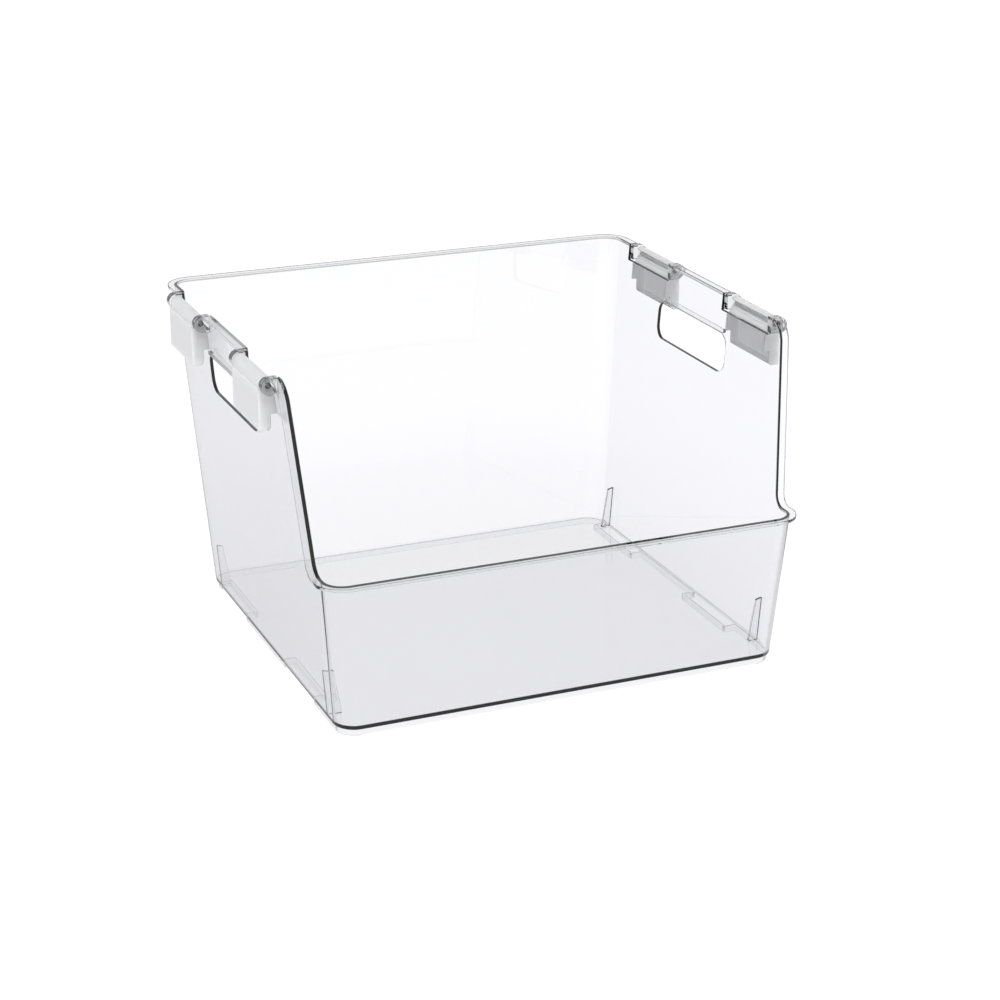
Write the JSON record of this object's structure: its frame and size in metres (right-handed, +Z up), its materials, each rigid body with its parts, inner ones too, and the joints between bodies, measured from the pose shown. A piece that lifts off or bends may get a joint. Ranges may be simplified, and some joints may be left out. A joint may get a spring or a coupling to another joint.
{
  "type": "stackable storage bin",
  "caption": "Clear open-fronted storage bin with leaning walls, hand holes and flip brackets on the side rims that fold inward to carry another bin.",
  "frame": {"origin": "middle of the outline on the surface that the feet stand on", "axes": "+X across the bin to the right as seen from its open front, +Y towards the high back wall, +Z up"},
  "size_m": [0.42, 0.363, 0.258],
  "materials": {
    "clear_plastic": "clear moulded plastic, polished",
    "frosted_plastic": "translucent white, finely frosted"
  },
  "bodies": {
    "tub": {"tub": "clear_plastic"},
    "front_left_bracket": {"front_left_bracket": "frosted_plastic"},
    "back_left_bracket": {"back_left_bracket": "frosted_plastic"},
    "front_right_bracket": {"front_right_bracket": "frosted_plastic"},
    "back_right_bracket": {"back_right_bracket": "frosted_plastic"}
  },
  "joints": [
    {"name": "front_left_flip", "type": "hinge", "parent": "tub", "child": "front_left_bracket", "pos_m": [-0.2034, -0.0685, 0.2514], "axis": [0, 1, 0], "range_deg": [0, 270]},
    {"name": "back_left_flip", "type": "hinge", "parent": "tub", "child": "back_left_bracket", "pos_m": [-0.2034, 0.102, 0.2514], "axis": [0, 1, 0], "range_deg": [0, 270]},
    {"name": "front_right_flip", "type": "hinge", "parent": "tub", "child": "front_right_bracket", "pos_m": [0.2034, -0.0685, 0.2514], "axis": [0, -1, 0], "range_deg": [0, 270]},
    {"name": "back_right_flip", "type": "hinge", "parent": "tub", "child": "back_right_bracket", "pos_m": [0.2034, 0.102, 0.2514], "axis": [0, -1, 0], "range_deg": [0, 270]}
  ]
}
